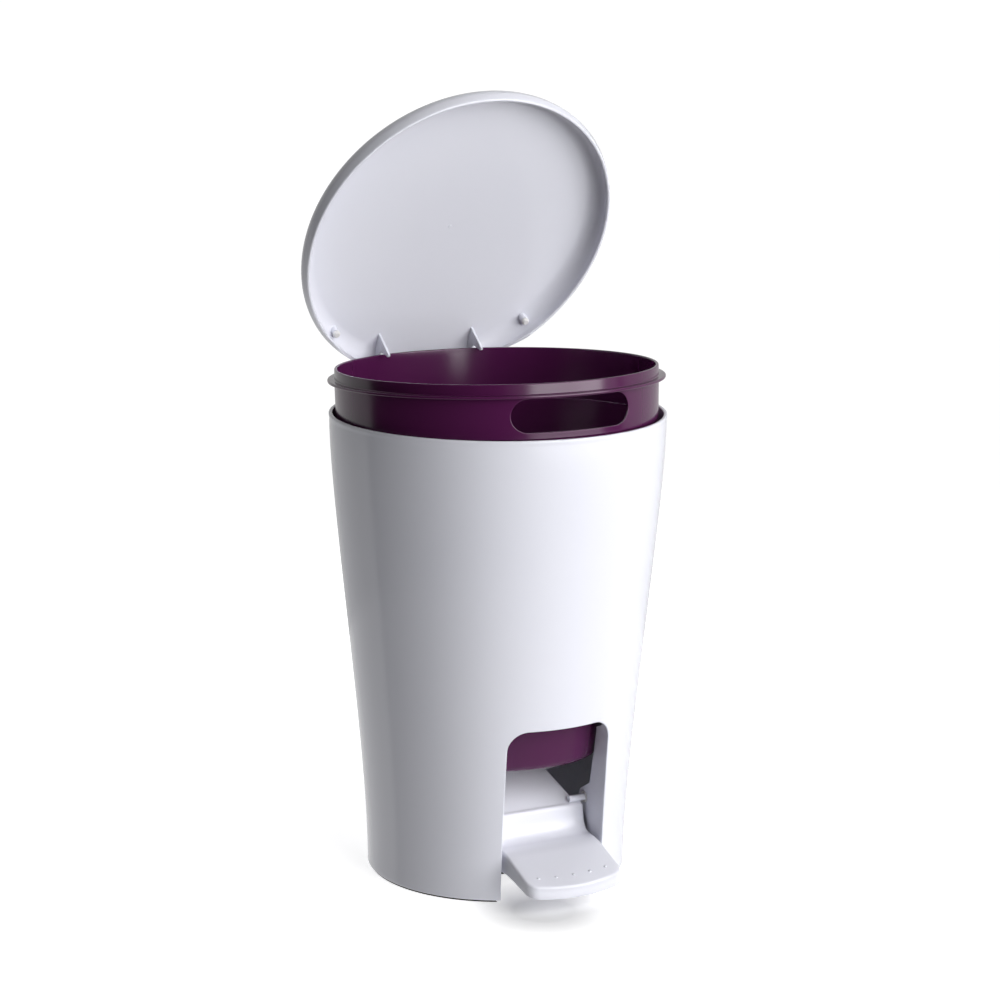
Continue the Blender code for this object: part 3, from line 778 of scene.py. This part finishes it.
RISER_FOOT, RISER_TOP, FOLD_END = station(-64.0), station(-54.4), station(-49.4)
SKIRT = [(0.0, PAD_FRONT, 9.8), (station(-97.0), -97.0, 13.4), (station(-84.0), -84.0, 16.4),
         (station(-75.0), -75.0, 17.8), (RISER_FOOT, -64.0, 17.5),
         (RISER_FOOT * 0.68 + RISER_TOP * 0.32, -58.0, 22.4),
         (RISER_FOOT * 0.36 + RISER_TOP * 0.64, -53.6, 32.2), (RISER_TOP, -51.0, 43.4),
         (FOLD_END, -48.6, 46.8), (float(ALONG[-1]), PLATE_NOSE[0], PLATE_NOSE[1] - PLATE_THICK)]


def skirt_at(along):
    """The skirt's (y, z) edge that lies under the tread's point at a station."""
    stations, ys, zs = zip(*SKIRT)
    return np.array([np.interp(along, stations, ys), np.interp(along, stations, zs)])


SHEET_STEP = 0.75


def sheet_half():
    """The right half of the pedal's unrolled outline, as (x, station) from the nose round to the
    front."""
    (wide, narrow), nose = PLATE_HALF, float(ALONG[-1])
    neck = FOLD_END + 0.6
    points = rounded([(narrow / 2, nose), (narrow, nose), (wide, neck + 2.0), (wide, neck - 0.6),
                      (PAD_HALF, neck - 1.2), (PAD_HALF, neck - 5.4)],
                     {1: 2.6, 2: 2.0, 3: 1.4, 4: 2.6})
    front = 3.4 + PAD_CORNER
    points.append((PAD_HALF, front))
    points += arc((PAD_HALF - PAD_CORNER, front), (PAD_CORNER, PAD_CORNER), 0, -78, 16)[1:]
    last_x, last_along = points[-1]
    points += [(last_x * (1 - t), last_along * (1 - t) ** 2) for t in np.linspace(0.1, 0.9, 9)]
    points = [(0.0, nose)] + points + [(0.0, 0.0)]
    fine = [points[0]]
    for start, end in zip(points, points[1:]):
        length = math.dist(start, end)
        for t in np.linspace(0.0, 1.0, max(2, math.ceil(length / SHEET_STEP) + 1))[1:]:
            fine.append((start[0] + (end[0] - start[0]) * t, start[1] + (end[1] - start[1]) * t))
    return fine


def pedal_sheet():
    """The pedal's folded sheet with its turned-down skirt: one closed mesh with rounded edges."""
    edge, foot, across = 1.8, 0.9, 14      # upper and lower edge rounds, quads across the sheet
    outline = sheet_half()
    places = []
    for index, (x, along) in enumerate(outline):
        before = outline[index - 1] if index else (-outline[1][0], outline[1][1])
        after = outline[index + 1] if index + 1 < len(outline) else (-before[0], before[1])
        run = np.array(after) - np.array(before)
        run /= np.linalg.norm(run)
        point, ahead = tread_at(along)
        inward = np.array([run[1], -run[0] * ahead[0], -run[0] * ahead[1]])
        top = np.array([x, *point])
        low = np.array([x, *skirt_at(along)])
        out = np.array([0.0, -ahead[1], ahead[0]])
        up = (top - low) / np.linalg.norm(top - low)
        deep = np.linalg.norm(top - low) > PAD_WALL + 0.9
        roof = top - out * PAD_WALL if deep else low + up * 0.35
        places.append((top, low, inward, out, up, roof))

    def ring(shape):
        return [shape(*place) for place in places]

    rows = []
    for degrees in (0, 15, 30, 45, 60, 75, 90):
        inset = edge * (1 - math.sin(math.radians(degrees)))
        drop = edge * (1 - math.cos(math.radians(degrees)))
        rows.append(ring(lambda top, low, inward, out, up, roof, inset=inset, drop=drop:
                         top + inward * inset - out * drop))
    for share in (0.33, 0.66, 1.0):
        rows.append(ring(lambda top, low, inward, out, up, roof, share=share:
                         (top - out * edge) * (1 - share) + (low + up * foot) * share))
    for inset, lift in ((0.2, 0.2), (foot, 0.0), (PAD_WALL - foot, 0.0), (PAD_WALL, 0.3)):
        rows.append(ring(lambda top, low, inward, out, up, roof, inset=inset, lift=lift:
                         low + inward * inset + up * lift))
    rows.append(ring(lambda top, low, inward, out, up, roof: roof + inward * PAD_WALL))

    bm = bmesh.new()
    right = [[bm.verts.new(point) for point in row] for row in rows]
    left = [[bm.verts.new(point * (-1.0, 1.0, 1.0)) for point in row] for row in rows]
    for near, far in list(zip(right, right[1:])) + list(zip(left, left[1:])):
        for index in range(len(near) - 1):
            bm.faces.new((near[index], near[index + 1], far[index + 1], far[index]))
    for one, other in ((right[0], left[0]), (right[-1], left[-1])):
        grid = []
        for a, b in zip(one, other):
            between = [bm.verts.new(a.co.lerp(b.co, step / across)) for step in range(1, across)]
            grid.append([a] + between + [b])
        for near, far in zip(grid, grid[1:]):
            for index in range(across):
                bm.faces.new((near[index], near[index + 1], far[index + 1], far[index]))
    bmesh.ops.remove_doubles(bm, verts=bm.verts[:], dist=1e-3)
    bmesh.ops.dissolve_degenerate(bm, edges=bm.edges[:], dist=1e-3)
    return finish(bm, "sheet")


def build_pedal():
    """The pedal: its sheet, the two ribs behind the riser, the axle stubs and the five pips."""
    parts = [pedal_sheet()]
    rib = [(-52.6, 37.6), (-46.0, 40.0), (-12.0, 66.0), (-12.0, 69.2), (-50.0, 46.9),
           (-52.6, 44.0)]
    for x in (-RIB_X, RIB_X):
        parts.append(prism(rib, x - RIB_THICK / 2, x + RIB_THICK / 2, "X", 0.2))
    for side in (-1, 1):
        low, high = sorted((side * STUB[0], side * STUB[1]))
        parts.append(rod(STUB_RADIUS, low, high, "X", PEDAL_AXLE, edge=0.3))
    for x in PIPS:
        y = PAD_FRONT + 9.6 + 3.6 * (x / PAD_HALF) ** 2
        z = float(tread_at(station(y))[0][1])
        dome = [(0, z - 0.5), (PIP_RADIUS + 0.05, z - 0.5)]
        dome += arc((0, z - 0.1), (PIP_RADIUS, PIP_HEIGHT), 0, 90, 8)
        parts.append(moved(turned(dome, PIP_SEGMENTS), x, y))
    pedal = together(*parts)
    publish(pedal, "pedal_moulding", "pedal", WHITE)
    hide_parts("pedal")


# ---- small hardware that keeps its CAD mesh -----------------------------------------------------

HARDWARE = {
    "hinge_bracket": WHITE, "hinge_pin_cap_left": WHITE, "hinge_pin_cap_right": WHITE,
    "hinge_pin": STEEL, "bracket_screw_left": STEEL, "bracket_screw_right": STEEL,
    "hinge_washer_left": NYLON, "hinge_washer_right": NYLON,
    "axle_bush_left": NYLON, "axle_bush_right": NYLON,
    "lid_buffer_left": NYLON, "lid_buffer_right": NYLON,
    "foot_front_left": RUBBER, "foot_front_right": RUBBER,
    "foot_rear_left": RUBBER, "foot_rear_right": RUBBER,
}


def dress_hardware():
    for name, look in HARDWARE.items():
        mesh = frame["nodes"][name].data
        mesh.materials.clear()
        mesh.materials.append(look)


# ---- studio -------------------------------------------------------------------------------------

CAMERA_PLACE = Vector((-0.75863, -1.41497, 0.56871))
CAMERA_TURN = -0.4931          # heading from +Y, radians
CAMERA_DIP = 0.2074            # below the horizon, radians
CAMERA_ROLL = 0.0065
CAMERA_LENS = 96.275


def make_camera():
    data = bpy.data.cameras.new("camera")
    data.lens = CAMERA_LENS
    data.sensor_width = 36.0
    data.clip_start, data.clip_end = 0.05, 100.0
    camera = bpy.data.objects.new("camera", data)
    bpy.context.scene.collection.objects.link(camera)
    ahead = Vector((-math.sin(CAMERA_TURN) * math.cos(CAMERA_DIP),
                    math.cos(CAMERA_TURN) * math.cos(CAMERA_DIP), -math.sin(CAMERA_DIP)))
    right = Vector((math.cos(CAMERA_TURN), math.sin(CAMERA_TURN), 0.0))
    up = right.cross(ahead)
    rolled_right = right * math.cos(CAMERA_ROLL) + up * math.sin(CAMERA_ROLL)
    rolled_up = up * math.cos(CAMERA_ROLL) - right * math.sin(CAMERA_ROLL)
    turn = Matrix((rolled_right, rolled_up, -ahead)).transposed().to_4x4()
    camera.matrix_world = Matrix.Translation(CAMERA_PLACE) @ turn
    bpy.context.scene.camera = camera


TO_CAMERA = Vector((math.sin(CAMERA_TURN), -math.cos(CAMERA_TURN), 0.0))
TO_RIGHT = Vector((math.cos(CAMERA_TURN), math.sin(CAMERA_TURN), 0.0))
SOFTBOX_DISTANCE = 1.7
SOFTBOX_AIM = Vector((0.0, 0.0, 0.22))
TABLE_Z = -0.002


def heading(degrees):
    """A level direction, as degrees to the right of the one that points to the camera."""
    angle = math.radians(degrees)
    return TO_CAMERA * math.cos(angle) + TO_RIGHT * math.sin(angle)


def softbox(name, degrees, height, size, radiance):
    """A rectangular light aimed at the bin; radiance is what a mirror would show of it."""
    data = bpy.data.lights.new(name, "AREA")
    data.shape = "RECTANGLE"
    data.size, data.size_y = size
    data.energy = radiance * math.pi * size[0] * size[1]
    light = bpy.data.objects.new(name, data)
    place = heading(degrees) * SOFTBOX_DISTANCE + Vector((0.0, 0.0, height))
    light.location = place
    light.rotation_mode = "QUATERNION"
    light.rotation_quaternion = (SOFTBOX_AIM - place).to_track_quat("-Z", "Y")
    bpy.context.scene.collection.objects.link(light)


def bounce(name, radius, radiance):
    """Light that a pale table top throws back up from a disc round the foot of the bin."""
    data = bpy.data.lights.new(name, "AREA")
    data.shape = "DISK"
    data.size = 2 * radius
    data.energy = radiance * (math.pi * radius) ** 2
    light = bpy.data.objects.new(name, data)
    light.location = (0.0, 0.0, TABLE_Z)
    light.rotation_euler = (math.pi, 0.0, 0.0)
    light.visible_camera = False
    bpy.context.scene.collection.objects.link(light)


# The world's strengths behind the bin and below it, and the cosines over which each comes in.
BEHIND_GLOW, BEHIND_TURN = (0.01, 0.60), (0.13, 0.19)
BELOW_GLOW, BELOW_TURN = (0.0, 0.42), (0.35, 0.75)

# In front of the bin the floor and the backdrop fade to this share of their glow, over these
# cosines with the way forward and, on the floor, over these distances.
FRONT = Vector((0.0, -1.0, 0.0))
FRONT_GLOW = 0.58
FRONT_TURN = (0.0, 0.35)
FRONT_REACH = (0.5, 3.0)

# How pale the floor is and where it stops taking light, then how far its glow dims round the bin
# and under the pedal, and where: painted shade round the bin and a painted shadow under the pedal.
FLOOR_PALE, FLOOR_REACH = 0.85, (0.55, 1.3)
BIN_PAINTED_SHADE, BIN_REACH = 0.70, (0.13, 0.40)
PEDAL_PAINTED_SHADOW, PEDAL_REACH = 0.12, (0.018, 0.052)
PEDAL_PAINTED_SHADOW_PLACE = (-0.018, -0.096, 0.0)
FLOOR_RADIUS = 30.0
SHADE_Z = 0.0002


def make_world():
    """A surround that lights the bin from behind and below and is dark on the photograph's side.
    Seen past the floor's edge it is a pale backdrop."""
    world = bpy.data.worlds.new("studio")
    world.use_nodes = True
    bpy.context.scene.world = world
    tree = world.node_tree
    background = tree.nodes["Background"]
    way = tree.nodes.new("ShaderNodeTexCoord").outputs["Generated"]

    def towards(direction):
        return measured(tree, "DOT_PRODUCT", way, direction)

    behind = spread(tree, towards(-TO_CAMERA), *BEHIND_GLOW, *BEHIND_TURN)
    below = spread(tree, towards(Vector((0.0, 0.0, -1.0))), *BELOW_GLOW, *BELOW_TURN)
    backdrop = spread(tree, towards(FRONT), 1.0, FRONT_GLOW, *FRONT_TURN)
    camera_sees = tree.nodes.new("ShaderNodeLightPath").outputs["Is Camera Ray"]
    seen = tree.nodes.new("ShaderNodeMix")
    tree.links.new(camera_sees, seen.inputs["Factor"])
    tree.links.new(joined(tree, "ADD", behind, below), seen.inputs["A"])
    tree.links.new(backdrop, seen.inputs["B"])
    tree.links.new(seen.outputs["Result"], background.inputs["Strength"])
    background.inputs["Color"].default_value = (1.0, 1.0, 1.0, 1.0)


def linked(bm, name):
    """A staging object from a bmesh given in metres."""
    mesh = bpy.data.meshes.new(name)
    bm.to_mesh(mesh)
    bm.free()
    made = bpy.data.objects.new(name, mesh)
    bpy.context.scene.collection.objects.link(made)
    return made


def make_floor():
    """A pale floor that takes soft shadows. Its glow keeps it pale and fades far out in front.
    Its glow is dimmed round the bin and further under the pedal, which paints a shadow there.
    """
    bm = bmesh.new()
    bmesh.ops.create_circle(bm, cap_ends=True, segments=96, radius=FLOOR_RADIUS)
    floor = linked(bm, "floor")
    look = bpy.data.materials.new("pale_floor")
    look.use_nodes = True
    tree = look.node_tree
    shader = tree.nodes["Principled BSDF"]
    shader.inputs["Roughness"].default_value = 0.9
    shader.inputs["Emission Color"].default_value = (1.0, 1.0, 1.0, 1.0)
    place = tree.nodes.new("ShaderNodeTexCoord").outputs["Object"]
    way = tree.nodes.new("ShaderNodeVectorMath")
    way.operation = "NORMALIZE"
    tree.links.new(place, way.inputs[0])
    distance = measured(tree, "LENGTH", place)
    from_pedal = measured(tree, "DISTANCE", place, PEDAL_PAINTED_SHADOW_PLACE)
    forward = measured(tree, "DOT_PRODUCT", way.outputs[0], FRONT)

    pale = spread(tree, distance, FLOOR_PALE, 0.0, *FLOOR_REACH)
    tree.links.new(pale, shader.inputs["Base Color"])
    fade = joined(tree, "MULTIPLY", spread(tree, forward, 0.0, 1.0, *FRONT_TURN),
                  spread(tree, distance, 0.0, 1.0, *FRONT_REACH))
    # Painted shadow: the glow is dimmed round the bin and further in a spot under the pedal.
    painted_shade = joined(tree, "MULTIPLY", spread(tree, distance, BIN_PAINTED_SHADE, 1.0, *BIN_REACH),
                   spread(tree, from_pedal, PEDAL_PAINTED_SHADOW, 1.0, *PEDAL_REACH))
    glow = joined(tree, "MULTIPLY", spread(tree, fade, 1.0, FRONT_GLOW, 0.0, 1.0), painted_shade)
    tree.links.new(glow, shader.inputs["Emission Strength"])
    floor.data.materials.append(look)
    floor.visible_diffuse = False
    floor.visible_glossy = False
    floor.visible_shadow = False


def make_shade():
    """A dark sheet under the bin, cut away at the pedal's opening: painted shade, seen as the dark
    floor under the base's edge and through the opening. It also stops the light that the floor lets
    through from below."""
    bm = bmesh.new()
    radius, side, back = BASE_RADIUS - 1.2, OPENING_HALF + 1.5, -29.0
    start = -math.degrees(math.acos(side / radius))
    outline = arc((0.0, 0.0), (radius, radius), start, 180 - start, 96)
    outline += [(-side, back), (side, back)]
    bm.faces.new([bm.verts.new((x * MM, y * MM, 0.0)) for x, y in outline])
    painted_shade = linked(bm, "painted_shade")
    painted_shade.location = (0.0, 0.0, SHADE_Z)
    # The sheet's near-black brown is painted shade for the unlit floor inside the bin.
    look = moulded("painted_shade", (0.012, 0.008, 0.004), (0.008, 0.005, 0.003), 0.9)
    painted_shade.data.materials.append(look)


def make_studio():
    make_world()
    make_floor()
    make_shade()
    softbox("key", 50.0, 0.88, (1.9, 1.7), 3.2)
    softbox("key_low", 50.0, 0.50, (1.9, 1.4), 1.35)
    softbox("key_right", 75.0, 0.88, (1.2, 1.7), 0.62)
    softbox("key_left", 25.0, 0.88, (1.2, 1.7), 0.24)
    bounce("table", 0.55, 0.235)
    bounce("table_near", 0.25, 0.58)
    bpy.context.scene.view_settings.view_transform = "Standard"


make_camera()
build_body()
build_bucket()
build_lid()
build_pedal()
dress_hardware()
make_studio()
